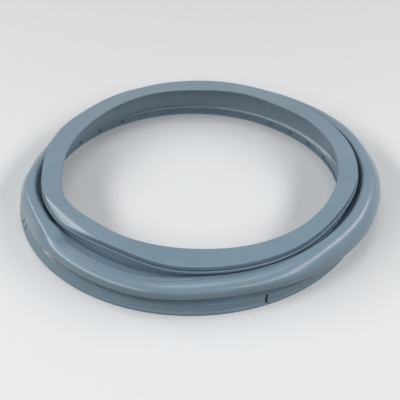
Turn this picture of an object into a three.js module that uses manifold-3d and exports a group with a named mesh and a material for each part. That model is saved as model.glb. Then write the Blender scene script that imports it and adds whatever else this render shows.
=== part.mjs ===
// Door seal of a front-loading washing machine: one moulded rubber ring.
// Lengths are in millimetres and angles in degrees, anticlockwise from +X seen from above.
// The ring's axis is Z. It lies on its tub side, so the collar that meets the door faces up.
import * as THREE from "three";
import { mergeVertices } from "three/addons/utils/BufferGeometryUtils.js";
import Module from "manifold-3d";

// Sizes across the ring, each measured outwards from the one before it
const LIP_RADIUS = 138; // free inner lip of the collar
const FACE_WIDTH = 21.5; // sealing face, from the lip to the collar's outer edge
const GROOVE_DEPTH = 2.2; // groove under the collar's edge
const RIB_REACH = 1; // how far the rib under that groove passes the edge
const NECK_INSET = 3.7; // how far the neck lies inside the collar's edge
const VALLEY_WIDTH = 7.6; // gap between the neck and the fold, where the fold is round
const VALLEY_PRESSED = 3.2; // the same gap where the fold is pressed in
const VALLEY_RECESSED = 2.4; // the same gap where the fold's inner part is sunk
const VALLEY_SLOPE = 0.3; // share of that gap over which its floor climbs to the fold
const ROLL_WIDTH = 21; // the round fold, from its inner side to the parting line
const FLANGE_INSET = 6.6; // how far the flange lies inside the parting line
const FLANGE_HOLLOW = 1.2; // depth of the shallow hollow along the flange's outer side
const BEAD_REACH = 1; // how far the bead stands in from the foot of the inner wall

// Sizes up the ring, each measured from the top of the one before it
const FLANGE_HEIGHT = 11.8;
const UNDERCUT_HEIGHT = 9.2; // from the flange up to the parting line
const VALLEY_RISE = 5.6; // from the parting line up to the floor of the valley
const NECK_HEIGHT = 7.4;
const RIB_HEIGHT = 2.4;
const GROOVE_HEIGHT = 1.5;
const EDGE_HEIGHT = 4; // side of the collar
const LIP_RISE = 2.6; // how far the sealing face climbs to the lip
const ROLL_RISE = 19; // from the parting line to the top of the round fold
const PRESSED_DROP = 4.6; // how far that top is lower where the fold is pressed in
const RECESSED_DROP = 4; // how far the valley's floor is lower where the fold's inner part is sunk
const SLUMPED_DROP = 6.5; // how far the parting line is lower where the fold has slumped

// Thicknesses
const WALL = 3; // neck, valley, fold and inner wall
const LIP_THICKNESS = 1.8;
const FLANGE_THICKNESS = 5.6;

// Crevice between the fold and the flange
const CREVICE_DEPTH = 4.2; // how far it runs in past the top of the flange
const CREVICE_SLUMPED = 0.6; // the same where the fold has slumped
const CREVICE_SWELLS = [[-90, 72, 2.6]]; // where it runs deeper
const CREVICE_FLOOR = 1.4; // how far its inner end lies above the flange

// Hollow along the flange's outer side, and the depth of its solid top behind the tub's rim
const HOLLOW_TOP = 2;
const HOLLOW_FOOT = 1.6;
const FLANGE_TOP = 4;

// Bead, groove and webs at the foot of the inner wall
const FOOT_HEIGHT = 2.2; // bottom ring of the inner wall
const SLOT_HEIGHT = 4.4; // groove between that ring and the bead
const BEAD_HEIGHT = 3;
const SLOT_DEPTH = 2.6;
const LEDGE_RISE = 3.6; // from the bead up to the upright part of the inner wall
const BEAD_SHARE = 0.1; // shares of the way out to that part, at the bead and at the top of the ledge
const LEDGE_SHARE = 0.8;
const WALL_TOP = 6; // how far below the valley's floor the inner wall stands upright
const WEB_COUNT = 33;
const WEB_PHASE = 3.4;
const WEB_THICKNESS = 1.4;
const WEB_SINK = 0.6; // how far a web runs into the rubber on each side

// Slit through the outer flange, flared at its mouth
const SLIT_ANGLE = -69.5;
const SLIT_WIDTH = 2;
const SLIT_FLARE = 1.8;
const SLIT_HEIGHT = 12.1;

// Fold's corners between the valley and the parting line. Each row says how far out and how high a corner
// lies, as shares of the fold's width and height, and how far its rounding reaches.
const ROUND_FOLD = [
  [0, 0.5, 4],
  [0.15, 1.03, 9],
  [0.64, 1, 10],
  [1.06, 0.45, 8],
];
const PRESSED_FOLD = [
  [0, 0.5, 3],
  [0.1, 0.76, 5],
  [0.66, 0.97, 6],
  [1.05, 0.56, 7],
];
const RECESSED_FOLD = [
  [0, 0.34, 1.2],
  [0.33, 0.5, 1],
  [0.76, 0.83, 2.5],
  [1.05, 0.56, 7],
];
const SLUMPED_FOLD = [
  [0, 0.45, 4],
  [0.16, 0.84, 7],
  [0.72, 0.93, 7],
  [1.02, 0.36, 8],
];
const FOLD_STEPS = [1, 3, 3, 3];

// Fine ribs on the pressed stretch
const FINE_RIBS = 3;
const FINE_RIB_HEIGHT = 0.5;

// How the free rubber has settled: each row is an angle, half a width and a height of a soft swell
const LIP_SWELLS = [
  [-155, 24, 5.8],
  [0, 50, 3.8],
  [-48, 44, 3.7],
  [-98, 30, -1],
  [150, 34, -2.2],
  [52, 22, -2.8],
  [88, 26, -2.4],
];
const EDGE_SWELLS = [
  [-122, 28, -7],
  [-157, 24, 2],
  [2, 34, 2.4],
  [-33, 28, -2.6],
  [52, 34, -2.1],
  [138, 34, -3.4],
];
const ROLL_SWELLS = [
  [92, 60, -7],
  [46, 44, -8],
  [146, 36, -9],
  [170, 26, -9.4],
  [-77, 34, -6.8],
  [-45, 20, -2],
  [12, 18, -2.4],
  [-157, 12, -2],
];
const ROLL_SAGS = [
  [98, 62, -8],
  [48, 40, -3],
  [152, 40, -7],
  [172, 24, -2.6],
]; // where the fold lies lower
const FOOT_SWELLS = [[18, 40, 2.4]];
const NECK_FOLLOWS = 0.4; // how much of the collar edge's swell the neck follows
const VALLEY_FOLLOWS = 0.4; // how much of the fold's swell its inner side follows

// Dent where the outer part of the sealing face has rolled down
const DENT = [[-145, 20, 1]];
const DENT_DROP = 4.4;
const DENT_PINCH = 0.9; // how far the groove under the collar closes there
const FACE_RIDGE = 0.92; // where the face bends, as a share of its width, at the ends of the dent
const DENT_RIDGE = 0.6; // the same at its middle
const DENT_ROUNDING = 3.4;
const SOFT_EDGE = [[-145, 20, 2.6]];

// The flange and the foot lie off the collar's centre
const FLANGE_SHIFT = { x: -7.8, y: -1.4 };
const FLANGE_LEAN = { x: 2.8, y: 0.6 };
const FOOT_SHIFT = { x: -7.1, y: 1.4 };
const ROLL_SHIFT = { x: 0.6, y: 0 };

// Stretches of the fold
const PRESSED = { start: -150, full: -134, ease: -78, end: -46 };
const RECESSED = { start: -150, full: -137, ease: -120, end: -86 };
const RIBBED = { start: -141, full: -135, ease: -104, end: -89 };
const SLUMPED = { start: 172, full: 190, ease: 208, end: 224 };

// Rounding of corners
const EDGE_ROUNDING = 0.6;
const COLLAR_ROUNDING = 1.2;
const BEAD_ROUNDING = 1;
const UNDERSIDE_ROUNDING = 5; // where the inner wall turns into the underside of the sealing face
const CORNER_LEAST = 0.01; // shares of an edge that a corner's rounding may take
const CORNER_SHARE = 0.46;
const HOLLOW_SHARE = 0.7; // rounding inside the fold, as a share of its outer rounding

const STATIONS = 72; // cross sections round the ring
const FLARE_STEPS = 4;
const SAME_POINT = 1e-4;
const MATERIAL = { color: 0x7f98a6, roughness: 0.42, metalness: 0 };

const wasm = await Module();
wasm.setup();

const { clamp, degToRad, euclideanModulo, lerp } = THREE.MathUtils;

// Sum of soft swells at an angle, each a raised cosine
function swell(rows, angle) {
  return rows.reduce((sum, [centre, half, height]) => {
    const away = Math.abs(euclideanModulo(angle - centre + 180, 360) - 180);
    return away < half ? sum + height * 0.5 * (1 + Math.cos((Math.PI * away) / half)) : sum;
  }, 0);
}

// How much of a stretch lies at an angle: 1 from full to ease, 0 before start and after end
function stretch(angle, { start, full, ease, end }) {
  const along = start + euclideanModulo(angle - start, 360);
  return THREE.MathUtils.smoothstep(along, start, full) * (1 - THREE.MathUtils.smoothstep(along, ease, end));
}

// Radial part of a sideways shift
const shifted = ({ x, y }, angle) => x * Math.cos(degToRad(angle)) + y * Math.sin(degToRad(angle));

// Heights of the levels that the section is drawn between
const partingZ = FLANGE_HEIGHT + UNDERCUT_HEIGHT;
const valleyZ = partingZ + VALLEY_RISE;
const neckZ = valleyZ + NECK_HEIGHT;
const ribZ = neckZ + RIB_HEIGHT;
const grooveZ = ribZ + GROOVE_HEIGHT;
const edgeZ = grooveZ + EDGE_HEIGHT;
const lipZ = edgeZ + LIP_RISE;
const rollZ = partingZ + ROLL_RISE;
const slotZ = FOOT_HEIGHT + SLOT_HEIGHT;
const beadZ = slotZ + BEAD_HEIGHT;
const ledgeZ = beadZ + LEDGE_RISE;

// Radii of the undisturbed ring
const edgeR = LIP_RADIUS + FACE_WIDTH;
const neckR = edgeR - NECK_INSET;
const innerR = neckR - WALL;
const beadR = innerR - BEAD_REACH;
const slotR = beadR + SLOT_DEPTH;
const rollR = neckR + VALLEY_WIDTH + ROLL_WIDTH;
const legR = rollR - FLANGE_INSET;

// Radial shift of the foot at an angle
const footShift = (angle) => shifted(FOOT_SHIFT, angle) + swell(FOOT_SWELLS, angle);

// Point one wall inside a corner of an outline whose rubber lies on its right
function inset(before, corner, after) {
  const point = new THREE.Vector2(...corner);
  const inward = (from, to) => new THREE.Vector2(to.y - from.y, from.x - to.x).normalize();
  const first = inward(new THREE.Vector2(...before), point);
  const second = inward(point, new THREE.Vector2(...after));
  const middle = first.clone().add(second).normalize();
  return point.addScaledVector(middle, WALL / middle.dot(first)).toArray();
}

// Corners that run one wall inside the middle corners of a list
const insetCorners = (list) =>
  list.slice(1, -1).map(({ round }, i) => ({
    at: inset(list[i].at, list[i + 1].at, list[i + 2].at),
    round: round > BEAD_ROUNDING ? round * HOLLOW_SHARE : 0,
    steps: 1,
  }));

// Corners of the fold at an angle, from the neck over the fold and down into the crevice above the flange
function foldCorners(angle, neck, valley, legTop) {
  const press = stretch(angle, PRESSED);
  const recess = stretch(angle, RECESSED);
  const slump = stretch(angle, SLUMPED) * (1 - press);
  const squeeze = swell(ROLL_SWELLS, angle);
  const gap = lerp(lerp(VALLEY_WIDTH, VALLEY_PRESSED, press), VALLEY_RECESSED, recess);
  const foot = neck + gap + VALLEY_FOLLOWS * squeeze;
  const parting = rollR + shifted(ROLL_SHIFT, angle) + squeeze;
  const crown = rollZ - PRESSED_DROP * press + swell(ROLL_SAGS, angle);
  const middle = ROUND_FOLD.map((row, i) => {
    const [across, up, round] = row.map((value, j) => {
      const pressed = lerp(value, PRESSED_FOLD[i][j], press);
      const recessed = lerp(pressed, RECESSED_FOLD[i][j], recess);
      return lerp(recessed, SLUMPED_FOLD[i][j], slump);
    });
    return {
      at: [lerp(foot, parting, across), lerp(partingZ, crown, up)],
      round,
      steps: FOLD_STEPS[i],
      ribbed: i === 1,
    };
  });
  const crevice = lerp(CREVICE_DEPTH, CREVICE_SLUMPED, slump) + swell(CREVICE_SWELLS, angle);
  return [
    { at: [neck, valley], round: COLLAR_ROUNDING, steps: 1 },
    { at: [lerp(foot, neck, VALLEY_SLOPE), valley] },
    ...middle,
    { at: [parting, partingZ - SLUMPED_DROP * slump] },
    { at: [legTop - crevice, FLANGE_HEIGHT + CREVICE_FLOOR] },
  ];
}

// Corners of the whole cross section at an angle, each with its radius and height. A rounded corner also has
// how far its rounding reaches along both edges, and its number of steps.
function corners(angle) {
  const edge = swell(EDGE_SWELLS, angle);
  const dent = swell(DENT, angle);
  const lip = LIP_RADIUS + swell(LIP_SWELLS, angle);
  const collar = edgeR + edge;
  const neck = neckR + edge * NECK_FOLLOWS;
  const valley = valleyZ - RECESSED_DROP * stretch(angle, RECESSED);
  const ridge = lerp(FACE_RIDGE, DENT_RIDGE, dent);
  const inner = neck - WALL;
  const leg = legR + shifted(FLANGE_SHIFT, angle);
  const legTop = leg + shifted(FLANGE_LEAN, angle);
  const flangeInner = leg - FLANGE_THICKNESS;
  const bead = beadR + footShift(angle);
  const slot = slotR + footShift(angle);
  const wallFoot = innerR + footShift(angle);

  const fold = foldCorners(angle, neck, valley, legTop);
  const hollow = insetCorners([...fold, { at: [legTop, FLANGE_HEIGHT] }]);
  const wall = [
    { at: [wallFoot, slotZ] },
    { at: [lerp(wallFoot, inner, BEAD_SHARE), beadZ + BEAD_ROUNDING] },
    { at: [lerp(wallFoot, inner, LEDGE_SHARE), ledgeZ], round: BEAD_ROUNDING, steps: 1 },
    { at: [inner, valley - WALL_TOP] },
    { at: [inner, valley] },
  ];

  return [
    // Sealing face and collar
    { at: [lip, lipZ], round: EDGE_ROUNDING, steps: 1 },
    {
      at: [lerp(lip, collar, ridge), lerp(lipZ, edgeZ, ridge)],
      round: DENT_ROUNDING * dent,
      steps: 1,
    },
    { at: [collar, edgeZ - DENT_DROP * dent], round: COLLAR_ROUNDING + swell(SOFT_EDGE, angle), steps: 2 },
    { at: [collar, grooveZ - DENT_PINCH * dent] },
    { at: [collar - GROOVE_DEPTH, grooveZ - DENT_PINCH * dent] },
    { at: [collar - GROOVE_DEPTH, ribZ] },
    { at: [collar + RIB_REACH, ribZ], round: EDGE_ROUNDING, steps: 1 },
    { at: [collar + RIB_REACH, neckZ] },
    { at: [neck, neckZ] },
    ...fold,
    // Outer flange
    { at: [legTop, FLANGE_HEIGHT], round: EDGE_ROUNDING, steps: 1 },
    { at: [legTop - FLANGE_HOLLOW, FLANGE_HEIGHT - HOLLOW_TOP] },
    { at: [leg - FLANGE_HOLLOW, FOOT_HEIGHT + HOLLOW_FOOT] },
    { at: [leg, FOOT_HEIGHT] },
    { at: [leg, 0] },
    { at: [flangeInner, 0] },
    // Channel for the tub's rim, which opens into the hollow of the fold
    { at: [flangeInner, FLANGE_HEIGHT - FLANGE_TOP] },
    ...hollow.reverse(),
    ...insetCorners(wall).reverse(),
    { at: [wallFoot + WALL, 0] },
    // Bottom ring, webbed groove and bead
    { at: [bead, 0] },
    { at: [bead, FOOT_HEIGHT] },
    { at: [slot, FOOT_HEIGHT] },
    { at: [slot, slotZ] },
    { at: [bead, slotZ], round: BEAD_ROUNDING, steps: 1 },
    { at: [bead, beadZ], round: BEAD_ROUNDING, steps: 1 },
    // Inner wall and the underside of the sealing face
    ...wall.slice(1, -1),
    { at: [inner, (grooveZ + ribZ) / 2], round: UNDERSIDE_ROUNDING, steps: 2 },
    { at: [lip, lipZ - LIP_THICKNESS] },
  ];
}

// Closed outline through the rounded corners, with fine ribs of the given height on the ribbed edge
function outline(list, ribHeight) {
  const arcs = list.map(({ at, round, steps }, i) => {
    const point = new THREE.Vector2(...at);
    if (!steps) return [point];
    const towards = ({ at: other }) => {
      const end = new THREE.Vector2(...other);
      return point.clone().lerp(end, clamp(round / point.distanceTo(end), CORNER_LEAST, CORNER_SHARE));
    };
    const arc = new THREE.QuadraticBezierCurve(
      towards(list.at(i - 1)),
      point,
      towards(list[(i + 1) % list.length]),
    );
    return arc.getPoints(steps);
  });
  return arcs.flatMap((arc, i) => {
    if (!list[i].ribbed) return arc;
    const start = arc.at(-1);
    const end = arcs[i + 1][0];
    const out = new THREE.Vector2(start.y - end.y, end.x - start.x).normalize();
    const ribs = Array.from({ length: 2 * FINE_RIBS - 1 }, (_, n) => {
      const lift = n % 2 === 0 ? ribHeight : 0;
      return start.clone().lerp(end, (n + 1) / (2 * FINE_RIBS)).addScaledVector(out, lift);
    });
    return [...arc, ...ribs];
  });
}

// Cross section at an angle, run up its outer side so that the faces of the ring point out
const sectionAt = (angle) => outline(corners(angle), FINE_RIB_HEIGHT * stretch(angle, RIBBED)).reverse();

// The ring: a lathe of the section, whose stations then take the section of their own angle
function sweptRing() {
  const profile = sectionAt(0);
  const lathe = new THREE.LatheGeometry([...profile, profile[0]], STATIONS);
  lathe.rotateX(Math.PI / 2);
  const position = lathe.getAttribute("position");
  const rows = profile.length + 1;
  for (let station = 0; station <= STATIONS; station += 1) {
    const turn = -180 + (360 * (station % STATIONS)) / STATIONS;
    const section = sectionAt(turn);
    const angle = degToRad(turn);
    for (let row = 0; row < rows; row += 1) {
      const { x: radius, y: height } = section[row % profile.length];
      position.setXYZ(station * rows + row, radius * Math.cos(angle), radius * Math.sin(angle), height);
    }
  }
  return lathe;
}

function solid(geometry) {
  geometry.deleteAttribute("normal");
  geometry.deleteAttribute("uv");
  const merged = mergeVertices(geometry, SAME_POINT);
  const mesh = new wasm.Mesh({
    numProp: 3,
    vertProperties: merged.getAttribute("position").array,
    triVerts: new Uint32Array(merged.index.array),
  });
  return new wasm.Manifold(mesh);
}

// Webs that bridge the groove under the bead
function web(index) {
  const angle = WEB_PHASE + (360 * index) / WEB_COUNT;
  const reach = SLOT_DEPTH;
  const block = new THREE.BoxGeometry(reach, WEB_THICKNESS, SLOT_HEIGHT + 2 * WEB_SINK);
  block.translate(beadR + footShift(angle) + WEB_SINK + reach / 2, 0, FOOT_HEIGHT + SLOT_HEIGHT / 2);
  block.rotateZ(degToRad(angle));
  return solid(block);
}

// Upright cutter for the slit, whose mouth is flared by a rounding on one side
function slit() {
  const half = SLIT_WIDTH / 2;
  const mouth = legR + shifted(FLANGE_SHIFT, SLIT_ANGLE);
  const inside = mouth - 2 * FLANGE_THICKNESS;
  const outside = mouth + FLANGE_THICKNESS;
  const shape = new THREE.Shape();
  shape.moveTo(inside, -half);
  shape.lineTo(outside, -half);
  shape.lineTo(outside, half + SLIT_FLARE);
  shape.lineTo(mouth + RIB_REACH, half + SLIT_FLARE);
  shape.quadraticCurveTo(mouth - SLIT_FLARE, half + SLIT_FLARE / 4, mouth - 2 * SLIT_FLARE, half);
  shape.lineTo(inside, half);
  shape.lineTo(inside, -half);
  const cut = new THREE.ExtrudeGeometry(shape, {
    depth: SLIT_HEIGHT + FOOT_HEIGHT,
    bevelEnabled: false,
    curveSegments: FLARE_STEPS,
  });
  cut.translate(0, 0, -FOOT_HEIGHT);
  cut.rotateZ(degToRad(SLIT_ANGLE));
  return solid(cut);
}

function sealGeometry() {
  let body = solid(sweptRing());
  for (let index = 0; index < WEB_COUNT; index += 1) body = body.add(web(index));
  body = body.subtract(slit());
  const mesh = body.getMesh();
  const geometry = new THREE.BufferGeometry();
  geometry.setAttribute("position", new THREE.BufferAttribute(mesh.vertProperties, 3));
  geometry.setIndex(new THREE.BufferAttribute(mesh.triVerts, 1));
  geometry.computeBoundingBox();
  const box = geometry.boundingBox;
  geometry.translate(-(box.min.x + box.max.x) / 2, -(box.min.y + box.max.y) / 2, -box.min.z);
  geometry.computeVertexNormals();
  return geometry;
}

const seal = new THREE.Mesh(sealGeometry(), new THREE.MeshStandardMaterial(MATERIAL));
seal.name = "door_seal";

const part = new THREE.Group();
part.add(seal);

export default part;
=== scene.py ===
import math

import bpy
import numpy as np
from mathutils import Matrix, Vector


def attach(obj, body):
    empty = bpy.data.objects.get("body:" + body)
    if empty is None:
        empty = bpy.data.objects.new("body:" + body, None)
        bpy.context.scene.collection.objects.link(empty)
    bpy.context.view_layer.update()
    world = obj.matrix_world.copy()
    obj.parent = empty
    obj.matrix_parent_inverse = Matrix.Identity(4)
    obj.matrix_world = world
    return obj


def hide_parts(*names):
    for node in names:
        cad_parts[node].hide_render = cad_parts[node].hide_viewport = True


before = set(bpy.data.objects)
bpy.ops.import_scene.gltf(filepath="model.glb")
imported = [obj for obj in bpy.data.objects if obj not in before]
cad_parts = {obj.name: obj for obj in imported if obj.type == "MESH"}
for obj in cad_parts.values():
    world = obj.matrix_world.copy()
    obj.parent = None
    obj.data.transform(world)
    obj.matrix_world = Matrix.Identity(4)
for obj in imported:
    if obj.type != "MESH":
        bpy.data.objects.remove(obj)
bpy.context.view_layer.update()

MM = 0.001

# Sizes across the ring in millimetres, from the inner lip outwards
LIP_RADIUS = 138
FACE_WIDTH = 21.5
GROOVE_DEPTH = 2.2
RIB_REACH = 1
NECK_INSET = 3.7
VALLEY_WIDTH = 7.6
VALLEY_PRESSED = 3.2
VALLEY_RECESSED = 2.4
ROLL_WIDTH = 21
FLANGE_INSET = 6.6
FLANGE_HOLLOW = 1.2
BEAD_REACH = 1

# Heights up the ring, each measured from the top of the one before it
FLANGE_HEIGHT = 11.8
UNDERCUT_HEIGHT = 9.2
VALLEY_RISE = 5.6
NECK_HEIGHT = 7.4
RIB_HEIGHT = 2.4
GROOVE_HEIGHT = 1.5
EDGE_HEIGHT = 4
LIP_RISE = 2.6

# Fold's rise over its parting line, and how far the fold, the valley and the parting line sink
# where the rubber is pressed, recessed and slumped
ROLL_RISE = 19
PRESSED_DROP = 4.6
RECESSED_DROP = 4
SLUMPED_DROP = 6.5

# Thicknesses of the rubber
WALL = 3
LIP_THICKNESS = 1.8
FLANGE_THICKNESS = 5.6

# Crevice between the fold and the flange, deeper by a swell at the front, and the hollow along the
# flange's outer side
CREVICE_DEPTH = 4.2
CREVICE_SLUMPED = 0.6
CREVICE_SWELLS = ((-90, 72, 2.6),)
CREVICE_FLOOR = 1.4
HOLLOW_TOP = 2
HOLLOW_FOOT = 1.6
FLANGE_TOP = 4

# Bead, groove and webs at the foot of the inner wall, and the bends of the wall above them
FOOT_HEIGHT = 2.2
SLOT_HEIGHT = 4.4
BEAD_HEIGHT = 3
SLOT_DEPTH = 2.6
LEDGE_RISE = 3.6
BEAD_SHARE = 0.1
LEDGE_SHARE = 0.8
WALL_TOP = 6
WEB_COUNT = 33
WEB_PHASE = 3.4
WEB_THICKNESS = 1.4
WEB_SINK = 0.6

# Slit through the outer flange, flared at its mouth, and two shallow marks beside each other in the
# flange's outer side
SLIT_ANGLE = -69.5
SLIT_WIDTH = 2
SLIT_FLARE = 1.8
SLIT_HEIGHT = 12.1
MARK_ANGLES = (-160.5, -164)
MARK_WIDTH = 2.2
MARK_DEPTH = 2.2
MARK_FROM = 3.2
MARK_TO = 9.8
FLARE_POINTS = 9

# Fold's corners between the valley and the parting line: how far out and how high, as shares of the fold's
# width and height, and how far the rounding reaches
ROUND_FOLD = ((0, 0.5, 4), (0.15, 1.03, 9), (0.64, 1, 10), (1.06, 0.45, 8))
PRESSED_FOLD = ((0, 0.5, 3), (0.1, 0.76, 5), (0.66, 0.97, 6), (1.05, 0.56, 7))
RECESSED_FOLD = ((0, 0.34, 1.2), (0.33, 0.5, 1), (0.76, 0.83, 1.5), (1.05, 0.56, 7))
SLUMPED_FOLD = ((0, 0.45, 4), (0.16, 0.84, 7), (0.72, 0.93, 7), (1.02, 0.36, 8))
FOLD_STEPS = (5, 9, 10, 9)

# Fine ribs on the fold's slope. The corner is the one, counted from the lip, where their edge starts
RIBBED_CORNER = 12
FINE_RIBS = 3
FINE_RIB_RISE = 0.5
FINE_GROOVE_DEPTH = 1
FINE_RIB_STEPS = 8

# How the free rubber has settled: angle, half width in degrees and height of each soft swell
LIP_SWELLS = (
    (-155, 24, 5.8),
    (0, 50, 3.8),
    (-48, 44, 3.7),
    (-98, 30, -1),
    (150, 34, -2.2),
    (52, 22, -2.8),
    (88, 26, -2.4),
)
EDGE_SWELLS = (
    (-122, 28, -7),
    (-157, 24, 2),
    (2, 34, 2.4),
    (-33, 28, -2.6),
    (52, 34, -2.1),
    (138, 34, -3.4),
)
ROLL_SWELLS = (
    (92, 60, -7),
    (46, 44, -8),
    (146, 36, -9),
    (170, 26, -9.4),
    (-77, 34, -6.8),
    (-45, 20, -2),
    (12, 18, -2.4),
    (-157, 12, -2),
)
ROLL_SAGS = ((98, 62, -8), (48, 40, -3), (152, 40, -7), (172, 24, -2.6))
FOOT_SWELLS = ((18, 40, 2.4),)

# Shares of the edge's and the fold's swells that the neck and the valley follow, and the share of the
# valley's width where it runs up to the fold
NECK_FOLLOWS = 0.4
VALLEY_FOLLOWS = 0.4
VALLEY_SLOPE = 0.3

# Dent where the outer part of the sealing face has rolled down. A ridge is the bend between the face
# and its outer part, as a share of the way from the lip to the edge
DENT = ((-145, 20, 1),)
DENT_DROP = 4.4
DENT_PINCH = 0.9
FACE_RIDGE = 0.92
DENT_RIDGE = 0.6
DENT_ROUNDING = 3.4
SOFT_EDGE = ((-145, 20, 2.6),)

# How far the flange, its top, the inner wall's foot and the fold stand off the middle, along X and Y
FLANGE_SHIFT = (-7.8, -1.4)
FLANGE_LEAN = (2.8, 0.6)
FOOT_SHIFT = (-7.1, 1.4)
ROLL_SHIFT = (0.6, 0)

# Stretches of the ring in degrees: start, full, first easing and end
PRESSED = (-150, -134, -78, -46)
RECESSED = (-150, -137, -120, -86)
RIBBED = (-141, -135, -104, -89)
SLUMPED = (172, 190, 208, 224)

# How far the roundings reach from their corners
EDGE_ROUNDING = 0.6
LIP_ROUNDING = 0.9
COLLAR_ROUNDING = 1.2
BEAD_ROUNDING = 1
UNDERSIDE_ROUNDING = 5
SHARP_ROUNDING = 0.3
PARTING_ROUNDING = 0.4
PARTING_SLUMPED = 4
CREVICE_ROUNDING = 0.6
HOLLOW_ROUNDING = 0.8
LEDGE_ROUNDING = 1.6
WALL_ROUNDING = 3

# Largest share of an edge that a rounding takes. The inside of the fold is rounded where the outside has
# many steps, by a share of the outside's reach
CORNER_SHARE = 0.46
MANY_STEPS = 4
HOLLOW_SHARE = 0.7
HOLLOW_STEPS = 2

# Stations round the ring, and points along the section's edges: shortest edge that gets any, their
# spacing, the distance of the two that hold its ends, and the angles between sections that are compared
STATIONS = 360
SHORT_EDGE = 1.2
SPACING = 3
SUPPORT = 0.25
PLAN_STEP = 5

# Edges that bend by more degrees than this stay sharp
SHARP_ANGLE = 50

PARTING_Z = FLANGE_HEIGHT + UNDERCUT_HEIGHT
VALLEY_Z = PARTING_Z + VALLEY_RISE
NECK_Z = VALLEY_Z + NECK_HEIGHT
RIB_Z = NECK_Z + RIB_HEIGHT
GROOVE_Z = RIB_Z + GROOVE_HEIGHT
EDGE_Z = GROOVE_Z + EDGE_HEIGHT
LIP_Z = EDGE_Z + LIP_RISE
ROLL_Z = PARTING_Z + ROLL_RISE
SLOT_Z = FOOT_HEIGHT + SLOT_HEIGHT
BEAD_Z = SLOT_Z + BEAD_HEIGHT
LEDGE_Z = BEAD_Z + LEDGE_RISE

EDGE_R = LIP_RADIUS + FACE_WIDTH
NECK_R = EDGE_R - NECK_INSET
INNER_R = NECK_R - WALL
BEAD_R = INNER_R - BEAD_REACH
SLOT_R = BEAD_R + SLOT_DEPTH
ROLL_R = NECK_R + VALLEY_WIDTH + ROLL_WIDTH
LEG_R = ROLL_R - FLANGE_INSET


def mix(a, b, share):
    return a + (b - a) * share


def ramp(angle, start, end):
    t = min(max((angle - start) / (end - start), 0.0), 1.0)
    return t * t * (3 - 2 * t)


def swell(rows, angle):
    """Sum of soft swells at an angle, each a raised cosine."""
    total = 0.0
    for centre, half, height in rows:
        away = abs((angle - centre + 180) % 360 - 180)
        if away < half:
            total += height * 0.5 * (1 + math.cos(math.pi * away / half))
    return total


def stretch(angle, limits):
    """How much of a stretch lies at an angle."""
    start, full, ease, end = limits
    along = start + (angle - start) % 360
    return ramp(along, start, full) * (1 - ramp(along, ease, end))


def shifted(shift, angle):
    return shift[0] * math.cos(math.radians(angle)) + shift[1] * math.sin(math.radians(angle))


def foot_shift(angle):
    return shifted(FOOT_SHIFT, angle) + swell(FOOT_SWELLS, angle)


def inset(before, corner, after):
    """Point one wall inside a corner of an outline whose rubber lies on its right."""

    def inward(start, end):
        v = np.array([end[1] - start[1], start[0] - end[0]], float)
        return v / np.linalg.norm(v)

    first = inward(before, corner)
    second = inward(corner, after)
    middle = first + second
    middle /= np.linalg.norm(middle)
    return np.array(corner, float) + middle * WALL / (middle @ first)


def inset_corners(rows):
    """Corners one wall inside the middle corners of a list, rounded where those have many steps."""
    result = []
    for before, corner, after in zip(rows, rows[1:], rows[2:]):
        r, z = inset(before[:2], corner[:2], after[:2])
        soft = corner[3] > MANY_STEPS
        result.append((r, z, corner[2] * HOLLOW_SHARE if soft else 0, HOLLOW_STEPS if soft else 0))
    return result


def fold_corners(angle, neck, valley, leg_top):
    """Corners of the valley, the fold and its crevice, with the same values as in corners."""
    press = stretch(angle, PRESSED)
    recess = stretch(angle, RECESSED)
    slump = stretch(angle, SLUMPED) * (1 - press)
    squeeze = swell(ROLL_SWELLS, angle)
    gap = mix(mix(VALLEY_WIDTH, VALLEY_PRESSED, press), VALLEY_RECESSED, recess)
    foot = neck + gap + VALLEY_FOLLOWS * squeeze
    crevice = mix(CREVICE_DEPTH, CREVICE_SLUMPED, slump) + swell(CREVICE_SWELLS, angle)
    parting = ROLL_R + shifted(ROLL_SHIFT, angle) + squeeze
    crown = ROLL_Z - PRESSED_DROP * press + swell(ROLL_SAGS, angle)
    middle = []
    for i, rows in enumerate(zip(ROUND_FOLD, PRESSED_FOLD, RECESSED_FOLD, SLUMPED_FOLD)):
        across, up, reach = (
            mix(mix(mix(a, b, press), c, recess), d, slump) for a, b, c, d in zip(*rows)
        )
        middle.append((mix(foot, parting, across), mix(PARTING_Z, crown, up), reach, FOLD_STEPS[i]))
    return [
        (neck, valley, COLLAR_ROUNDING, 3),
        (mix(foot, neck, VALLEY_SLOPE), valley, 0, 1),
        *middle,
        (parting, PARTING_Z - SLUMPED_DROP * slump, mix(PARTING_ROUNDING, PARTING_SLUMPED, slump), 4),
        (leg_top - crevice, FLANGE_HEIGHT + CREVICE_FLOOR, CREVICE_ROUNDING, 2),
    ]


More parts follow.
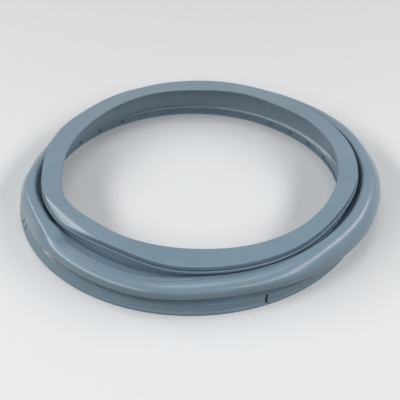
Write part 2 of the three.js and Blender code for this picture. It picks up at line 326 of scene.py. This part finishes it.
def corners(angle):
    """Corners of the section at an angle: radius, height, reach of the rounding and its steps."""
    edge = swell(EDGE_SWELLS, angle)
    dent = swell(DENT, angle)
    lip = LIP_RADIUS + swell(LIP_SWELLS, angle)
    collar = EDGE_R + edge
    neck = NECK_R + edge * NECK_FOLLOWS
    valley = VALLEY_Z - RECESSED_DROP * stretch(angle, RECESSED)
    ridge = mix(FACE_RIDGE, DENT_RIDGE, dent)
    inner = neck - WALL
    leg = LEG_R + shifted(FLANGE_SHIFT, angle)
    leg_top = leg + shifted(FLANGE_LEAN, angle)
    flange_inner = leg - FLANGE_THICKNESS
    bead = BEAD_R + foot_shift(angle)
    slot = SLOT_R + foot_shift(angle)
    wall_foot = INNER_R + foot_shift(angle)

    fold = fold_corners(angle, neck, valley, leg_top)
    hollow = inset_corners([*fold, (leg_top, FLANGE_HEIGHT)])
    wall = [
        (wall_foot, SLOT_Z, 0, 0),
        (mix(wall_foot, inner, BEAD_SHARE), BEAD_Z + BEAD_ROUNDING, HOLLOW_ROUNDING, 3),
        (mix(wall_foot, inner, LEDGE_SHARE), LEDGE_Z, LEDGE_ROUNDING, 3),
        (inner, valley - WALL_TOP, WALL_ROUNDING, 3),
        (inner, valley, 0, 0),
    ]
    wall_back = [(*row[:2], 0, 0) for row in inset_corners(wall)]
    groove = GROOVE_Z - DENT_PINCH * dent
    return [
        (lip, LIP_Z, LIP_ROUNDING, 4),
        (mix(lip, collar, ridge), mix(LIP_Z, EDGE_Z, ridge), EDGE_ROUNDING + DENT_ROUNDING * dent, 6),
        (collar, EDGE_Z - DENT_DROP * dent, COLLAR_ROUNDING + swell(SOFT_EDGE, angle), 8),
        (collar, groove, SHARP_ROUNDING, 2),
        (collar - GROOVE_DEPTH, groove, 0, 0),
        (collar - GROOVE_DEPTH, RIB_Z, 0, 0),
        (collar + RIB_REACH, RIB_Z, EDGE_ROUNDING, 3),
        (collar + RIB_REACH, NECK_Z, SHARP_ROUNDING, 2),
        (neck, NECK_Z, EDGE_ROUNDING, 2),
        *fold,
        (leg_top, FLANGE_HEIGHT, EDGE_ROUNDING, 3),
        (leg_top - FLANGE_HOLLOW, FLANGE_HEIGHT - HOLLOW_TOP, HOLLOW_ROUNDING, 2),
        (leg - FLANGE_HOLLOW, FOOT_HEIGHT + HOLLOW_FOOT, HOLLOW_ROUNDING, 2),
        (leg, FOOT_HEIGHT, SHARP_ROUNDING, 2),
        (leg, 0, SHARP_ROUNDING, 2),
        (flange_inner, 0, SHARP_ROUNDING, 1),
        (flange_inner, FLANGE_HEIGHT - FLANGE_TOP, 0, 0),
        *reversed(hollow),
        *reversed(wall_back),
        (wall_foot + WALL, 0, SHARP_ROUNDING, 1),
        (bead, 0, SHARP_ROUNDING, 2),
        (bead, FOOT_HEIGHT, SHARP_ROUNDING, 2),
        (slot, FOOT_HEIGHT, 0, 0),
        (slot, SLOT_Z, 0, 0),
        (bead, SLOT_Z, BEAD_ROUNDING, 3),
        (bead, BEAD_Z, BEAD_ROUNDING, 4),
        *wall[1:-1],
        (inner, (GROOVE_Z + RIB_Z) / 2, UNDERSIDE_ROUNDING, 6),
        (lip, LIP_Z - LIP_THICKNESS, SHARP_ROUNDING, 2),
    ]


def rounded(rows):
    """Arcs of points, one for each corner."""
    arcs = []
    count = len(rows)
    for i, (r, z, reach, steps) in enumerate(rows):
        corner = np.array([r, z], float)
        if reach == 0:
            arcs.append(np.array([corner] * (1 + min(steps, 1))))
            continue
        ends = []
        for other in (rows[i - 1], rows[(i + 1) % count]):
            along = np.array(other[:2], float) - corner
            ends.append(corner + along * min(reach / np.linalg.norm(along), CORNER_SHARE))
        t = np.linspace(0, 1, steps + 1)[:, None]
        arcs.append((1 - t) ** 2 * ends[0] + 2 * t * (1 - t) * corner + t**2 * ends[1])
    return arcs


def edge_shares(length):
    """Shares along an edge where it gets points: one close to each end, and others between."""
    if length < SHORT_EDGE:
        return []
    near = SUPPORT / length
    inner = max(int(length / SPACING) - 1, 0)
    return [near, *[(k + 1) / (inner + 1) for k in range(inner)], 1 - near]


def build_plan():
    """The edges' points, the same at all angles, from the shortest that each edge gets."""
    shortest = None
    for angle in range(-180, 180, PLAN_STEP):
        arcs = rounded(corners(angle))
        starts = [arc[0] for arc in [*arcs[1:], arcs[0]]]
        lengths = [np.linalg.norm(start - arc[-1]) for arc, start in zip(arcs, starts)]
        shortest = lengths if shortest is None else [min(a, b) for a, b in zip(shortest, lengths)]
    return [edge_shares(length) for length in shortest]


def section(angle, plan):
    """Points of the section at an angle, with the fine ribs on their edge."""
    arcs = rounded(corners(angle))
    points = []
    ribbed = stretch(angle, RIBBED)
    for i, arc in enumerate(arcs):
        points.extend(arc)
        start, end = arc[-1], arcs[(i + 1) % len(arcs)][0]
        if i == RIBBED_CORNER:
            normal = np.array([start[1] - end[1], end[0] - start[0]])
            normal /= np.linalg.norm(normal)
            steps = FINE_RIBS * FINE_RIB_STEPS
            for k in range(1, steps):
                groove = (0.5 + 0.5 * math.cos(2 * math.pi * k / FINE_RIB_STEPS)) ** 2
                lift = mix(FINE_RIB_RISE, -FINE_GROOVE_DEPTH, groove) * ribbed
                points.append(start + (end - start) * k / steps + normal * lift)
        else:
            points.extend(start + (end - start) * share for share in plan[i])
    return np.array(points)


def at_angle(angle, r, t, z):
    """Point at a radius, a sideways distance from that radius's line and a height."""
    a = math.radians(angle)
    return (r * math.cos(a) - t * math.sin(a), r * math.sin(a) + t * math.cos(a), z)


def ring_mesh():
    """Points and quads of the ring before the slit and the marks are cut."""
    plan = build_plan()
    rings = []
    for station in range(STATIONS):
        angle = -180 + 360 * station / STATIONS
        rings.append([at_angle(angle, r, 0, z) for r, z in section(angle, plan)])
    rows = len(rings[0])
    station = np.arange(STATIONS)[:, None]
    row = np.arange(rows)[None, :]
    after, above = (station + 1) % STATIONS, (row + 1) % rows
    quads = np.stack(
        [station * rows + row, station * rows + above, after * rows + above, after * rows + row], axis=-1
    )
    return np.concatenate(rings), quads.reshape(-1, 4).tolist()


def prism(angle, outline, z0, z1):
    """Closed upright block over an outline of radii and sideways distances, anticlockwise from above."""
    n = len(outline)
    points = [at_angle(angle, r, t, z) for z in (z0, z1) for r, t in outline]
    faces = [tuple(range(n))[::-1], tuple(range(n, 2 * n))]
    faces += [(i, (i + 1) % n, n + (i + 1) % n, n + i) for i in range(n)]
    return points, faces


def joined(blocks):
    """Points and faces of many blocks in one list."""
    points, faces = [], []
    for block_points, block_faces in blocks:
        faces += [tuple(i + len(points) for i in face) for face in block_faces]
        points += list(map(tuple, block_points))
    return points, faces


def add_mesh(name, points, faces):
    mesh = bpy.data.meshes.new(name)
    mesh.from_pydata((np.asarray(points) * MM).tolist(), [], faces)
    mesh.validate()
    mesh.update()
    obj = bpy.data.objects.new(name, mesh)
    bpy.context.scene.collection.objects.link(obj)
    return obj


def web(index):
    """Web across the inner groove. It runs a little into the rubber on each side."""
    angle = WEB_PHASE + 360 * index / WEB_COUNT
    start = BEAD_R + foot_shift(angle) + WEB_SINK
    half = WEB_THICKNESS / 2
    outline = [(start, -half), (start + SLOT_DEPTH, -half), (start + SLOT_DEPTH, half), (start, half)]
    return prism(angle, outline, FOOT_HEIGHT - WEB_SINK, SLOT_Z + WEB_SINK)


def slit():
    """Block that cuts the slit, flared on one side towards its mouth."""
    half = SLIT_WIDTH / 2
    mouth = LEG_R + shifted(FLANGE_SHIFT, SLIT_ANGLE)
    inside, outside = mouth - 2 * FLANGE_THICKNESS, mouth + FLANGE_THICKNESS
    start = np.array([mouth + RIB_REACH, half + SLIT_FLARE])
    bend = np.array([mouth - SLIT_FLARE, half + SLIT_FLARE / 4])
    end = np.array([mouth - 2 * SLIT_FLARE, half])
    shares = np.linspace(0, 1, FLARE_POINTS)
    flare = [tuple((1 - t) ** 2 * start + 2 * t * (1 - t) * bend + t**2 * end) for t in shares]
    outline = [(inside, -half), (outside, -half), (outside, half + SLIT_FLARE), *flare, (inside, half)]
    return prism(SLIT_ANGLE, outline, -FOOT_HEIGHT, SLIT_HEIGHT)


def mark(angle):
    """Block that cuts a shallow mark into the flange's outer side."""
    half = MARK_WIDTH / 2
    end = LEG_R + shifted(FLANGE_SHIFT, angle) + shifted(FLANGE_LEAN, angle) / 2
    inside, outside = end - FLANGE_HOLLOW - MARK_DEPTH, end + MARK_DEPTH
    outline = [(inside, -half), (outside, -half), (outside, half), (inside, half)]
    return prism(angle, outline, MARK_FROM, MARK_TO)


def cut_mesh(obj, points, faces):
    """Mesh of an object with closed blocks cut away from it."""
    cutter = add_mesh("cutter", points, faces)
    modifier = obj.modifiers.new("cut", "BOOLEAN")
    modifier.operation = "DIFFERENCE"
    modifier.object = cutter
    modifier.solver = "EXACT"
    bpy.context.view_layer.update()
    mesh = bpy.data.meshes.new_from_object(obj.evaluated_get(bpy.context.evaluated_depsgraph_get()))
    bpy.data.objects.remove(cutter)
    return mesh


def centred(block):
    """Block moved so that the whole ring stands on the frame's origin."""
    points, faces = block
    return np.asarray(points) - CENTRE, faces


ring_points, ring_quads = ring_mesh()
low, high = ring_points.min(0), ring_points.max(0)
CENTRE = np.array([(low[0] + high[0]) / 2, (low[1] + high[1]) / 2, low[2]])

whole = add_mesh("whole_ring", *centred((ring_points, ring_quads)))
cut = cut_mesh(whole, *centred(joined([slit(), *map(mark, MARK_ANGLES)])))
cut_ring = [tuple(v.co / MM) for v in cut.vertices], [tuple(p.vertices) for p in cut.polygons]
webs = [centred(web(index)) for index in range(WEB_COUNT)]
seal = add_mesh("door_seal_rubber", *joined([cut_ring, *webs]))
bpy.data.objects.remove(whole)
for polygon in seal.data.polygons:
    polygon.use_smooth = True
seal.data.set_sharp_from_angle(angle=math.radians(SHARP_ANGLE))


def srgb(r, g, b):
    """Linear colour of one written in sRGB."""

    def linear(c):
        return c / 12.92 if c <= 0.04045 else ((c + 0.055) / 1.055) ** 2.4

    return (linear(r / 255), linear(g / 255), linear(b / 255), 1)


RUBBER_DARK = srgb(114, 136, 150)
RUBBER_LIGHT = srgb(124, 147, 162)
RUBBER_ROUGHNESS = (0.24, 0.34)
RUBBER_COAT = 0.35
COAT_ROUGHNESS = 0.2


def rubber_material():
    """Satin grey rubber, a little cloudy, with a roughness that varies finely."""
    material = bpy.data.materials.new("grey_rubber")
    material.use_nodes = True
    nodes, links = material.node_tree.nodes, material.node_tree.links
    nodes.clear()
    output = nodes.new("ShaderNodeOutputMaterial")
    shader = nodes.new("ShaderNodeBsdfPrincipled")
    links.new(shader.outputs["BSDF"], output.inputs["Surface"])
    coords = nodes.new("ShaderNodeTexCoord")

    cloud = nodes.new("ShaderNodeTexNoise")
    cloud.inputs["Scale"].default_value = 14
    cloud.inputs["Detail"].default_value = 5
    cloud.inputs["Roughness"].default_value = 0.6
    links.new(coords.outputs["Object"], cloud.inputs["Vector"])
    tone = nodes.new("ShaderNodeValToRGB")
    tone.color_ramp.elements[0].position = 0.3
    tone.color_ramp.elements[0].color = RUBBER_DARK
    tone.color_ramp.elements[1].position = 0.72
    tone.color_ramp.elements[1].color = RUBBER_LIGHT
    links.new(cloud.outputs["Fac"], tone.inputs["Fac"])
    links.new(tone.outputs["Color"], shader.inputs["Base Color"])

    grain = nodes.new("ShaderNodeTexNoise")
    grain.inputs["Scale"].default_value = 90
    grain.inputs["Detail"].default_value = 4
    links.new(coords.outputs["Object"], grain.inputs["Vector"])
    gloss = nodes.new("ShaderNodeMapRange")
    gloss.inputs["To Min"].default_value, gloss.inputs["To Max"].default_value = RUBBER_ROUGHNESS
    links.new(grain.outputs["Fac"], gloss.inputs["Value"])
    links.new(gloss.outputs["Result"], shader.inputs["Roughness"])

    shader.inputs["Coat Weight"].default_value = RUBBER_COAT
    shader.inputs["Coat Roughness"].default_value = COAT_ROUGHNESS
    return material


seal.data.materials.append(rubber_material())
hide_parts("door_seal")
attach(seal, "root")

# The Mix node's colour sockets share their names with others, so they are counted
MIX_FIRST = 6
MIX_SECOND = 7
MIX_RESULT = 2

# Colours that scattered light gets, and pale ones that the eye and reflections see
FLOOR_SCATTERED = (0.14, 0.16, 0.18, 1)
FLOOR_SEEN = (0.84, 0.85, 0.86, 1)
WORLD_SCATTERED = (0.1, 0.105, 0.11, 1)
WORLD_SEEN = (0.66, 0.67, 0.68, 1)
FLOOR_ROUGHNESS = 0.8

# Half of the floor's side and its distance under the ring, in metres
FLOOR_HALF = 0.95
FLOOR_GAP = 0.0002


def seen_rays(nodes, links):
    """Socket that is 1 for what the eye or a reflection sees, and 0 for scattered light."""
    path = nodes.new("ShaderNodeLightPath")
    seen = path.outputs["Is Camera Ray"]
    for name in ("Is Glossy Ray", "Is Transmission Ray"):
        either = nodes.new("ShaderNodeMath")
        either.operation = "MAXIMUM"
        links.new(seen, either.inputs[0])
        links.new(path.outputs[name], either.inputs[1])
        seen = either.outputs["Value"]
    return seen


def paint(material, shader_name, socket, scattered, seen):
    """Gives a shader's colour socket one colour for scattered light and one for what is seen."""
    nodes, links = material.node_tree.nodes, material.node_tree.links
    tone = nodes.new("ShaderNodeMix")
    tone.data_type = "RGBA"
    links.new(seen_rays(nodes, links), tone.inputs["Factor"])
    tone.inputs[MIX_FIRST].default_value = scattered
    tone.inputs[MIX_SECOND].default_value = seen
    links.new(tone.outputs[MIX_RESULT], nodes[shader_name].inputs[socket])


def make_floor():
    """Floor a little under the surface that the ring lies on."""
    signs = ((-1, -1), (1, -1), (1, 1), (-1, 1))
    mesh = bpy.data.meshes.new("floor")
    mesh.from_pydata([(x * FLOOR_HALF, y * FLOOR_HALF, 0) for x, y in signs], [], [(0, 1, 2, 3)])
    material = bpy.data.materials.new("pale_floor")
    material.use_nodes = True
    material.node_tree.nodes["Principled BSDF"].inputs["Roughness"].default_value = FLOOR_ROUGHNESS
    paint(material, "Principled BSDF", "Base Color", FLOOR_SCATTERED, FLOOR_SEEN)
    mesh.materials.append(material)
    obj = bpy.data.objects.new("floor", mesh)
    obj.location.z = -FLOOR_GAP
    bpy.context.scene.collection.objects.link(obj)
    return obj


floor = make_floor()

world = bpy.data.worlds.new("studio")
world.use_nodes = True
paint(world, "Background", "Color", WORLD_SCATTERED, WORLD_SEEN)
bpy.context.scene.world = world

# Lamps: name, place, sizes level and upright, all in metres, and power in watts
LAMPS = (
    ("left_strip", (-1.2, -0.3, 1.05), (3.2, 0.34), 21),
    ("right_strip", (1.2, -0.3, 1.05), (3.2, 0.34), 19.5),
    ("top_light", (0, -0.1, 2.0), (0.9, 0.9), 6.2),
    ("front_light", (0, -1.8, 0.7), (1.8, 0.7), 1.2),
)
LAMP_AIM = (0, 0, 0.03)


def area_light(name, location, size, power):
    """Rectangular light aimed at the ring."""
    light = bpy.data.lights.new(name, "AREA")
    light.shape = "RECTANGLE"
    light.size, light.size_y = size
    light.energy = power
    obj = bpy.data.objects.new(name, light)
    obj.location = location
    direction = Vector(LAMP_AIM) - Vector(location)
    obj.rotation_euler = direction.to_track_quat("-Z", "Y").to_euler()
    bpy.context.scene.collection.objects.link(obj)


for lamp in LAMPS:
    area_light(*lamp)

# Camera, aimed at the axis of the section's circles where it meets the floor
ELEVATION = math.radians(38)
DISTANCE = 1.05
LENS_MM = 90
SENSOR_MM = 36
SHIFT = (0.0025, -0.01375)

camera_data = bpy.data.cameras.new("camera")
camera_data.lens = LENS_MM
camera_data.sensor_width = SENSOR_MM
camera_data.shift_x, camera_data.shift_y = SHIFT
camera = bpy.data.objects.new("camera", camera_data)
aim = Vector((-CENTRE[0] * MM, -CENTRE[1] * MM, 0))
back = Vector((0, -math.cos(ELEVATION), math.sin(ELEVATION)))
camera.location = aim + back * DISTANCE
camera.rotation_euler = (-back).to_track_quat("-Z", "Y").to_euler()
bpy.context.scene.collection.objects.link(camera)
bpy.context.scene.camera = camera
bpy.context.scene.view_settings.view_transform = "Standard"
